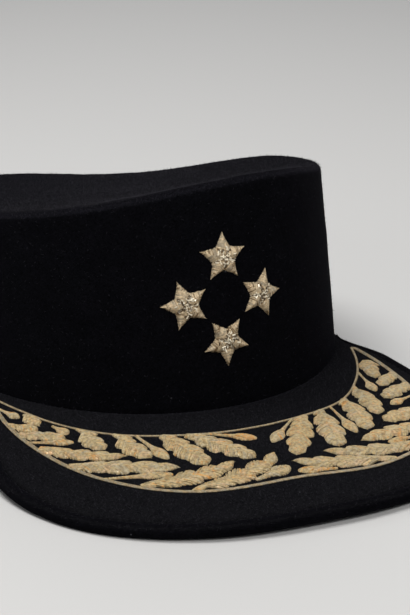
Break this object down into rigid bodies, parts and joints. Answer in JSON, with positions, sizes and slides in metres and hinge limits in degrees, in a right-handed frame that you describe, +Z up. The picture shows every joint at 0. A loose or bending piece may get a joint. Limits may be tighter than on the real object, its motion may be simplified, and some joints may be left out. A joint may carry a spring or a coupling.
{
  "type": "peaked cap",
  "caption": "Oval drum-shaped felt cap with a broad arched peak, oak-leaf embroidery between border cords on the peak and padded stars on the crown's front.",
  "frame": {"origin": "bottom centre of the bounding box, on the surface that the cap rests on", "axes": "-Y to the front, where the peak is; +X to the left of a wearer, which is the right of someone facing the cap; +Z up"},
  "size_m": [0.1804, 0.293, 0.0945],
  "materials": {
    "felt": "dense brushed wool felt, black with a blue cast",
    "gold_thread": "metallic bullion and thread embroidery, pale gold"
  },
  "bodies": {
    "root": {"crown": "felt", "peak": "felt", "peak_edge": "felt", "border_inner": "gold_thread", "border_outer": "gold_thread", "star_top": "gold_thread", "star_left": "gold_thread", "star_right": "gold_thread", "star_bottom": "gold_thread", "leaf_right_1": "gold_thread", "leaf_right_2": "gold_thread", "leaf_right_3": "gold_thread", "leaf_right_4": "gold_thread", "leaf_right_5": "gold_thread", "leaf_right_6": "gold_thread", "leaf_right_7": "gold_thread", "leaf_right_8": "gold_thread", "leaf_right_9": "gold_thread", "leaf_right_10": "gold_thread", "leaf_right_11": "gold_thread", "leaf_right_12": "gold_thread", "leaf_right_13": "gold_thread", "leaf_right_14": "gold_thread", "leaf_right_15": "gold_thread", "leaf_right_16": "gold_thread", "leaf_right_17": "gold_thread", "leaf_left_1": "gold_thread", "leaf_left_2": "gold_thread", "leaf_left_3": "gold_thread", "leaf_left_4": "gold_thread", "leaf_left_5": "gold_thread", "leaf_left_6": "gold_thread", "leaf_left_7": "gold_thread", "leaf_left_8": "gold_thread", "leaf_left_9": "gold_thread", "leaf_left_10": "gold_thread", "leaf_left_11": "gold_thread", "leaf_left_12": "gold_thread", "leaf_left_13": "gold_thread", "leaf_left_14": "gold_thread", "leaf_left_15": "gold_thread", "leaf_left_16": "gold_thread", "leaf_left_17": "gold_thread", "leaf_left_18": "gold_thread"}
  },
  "joints": []
}
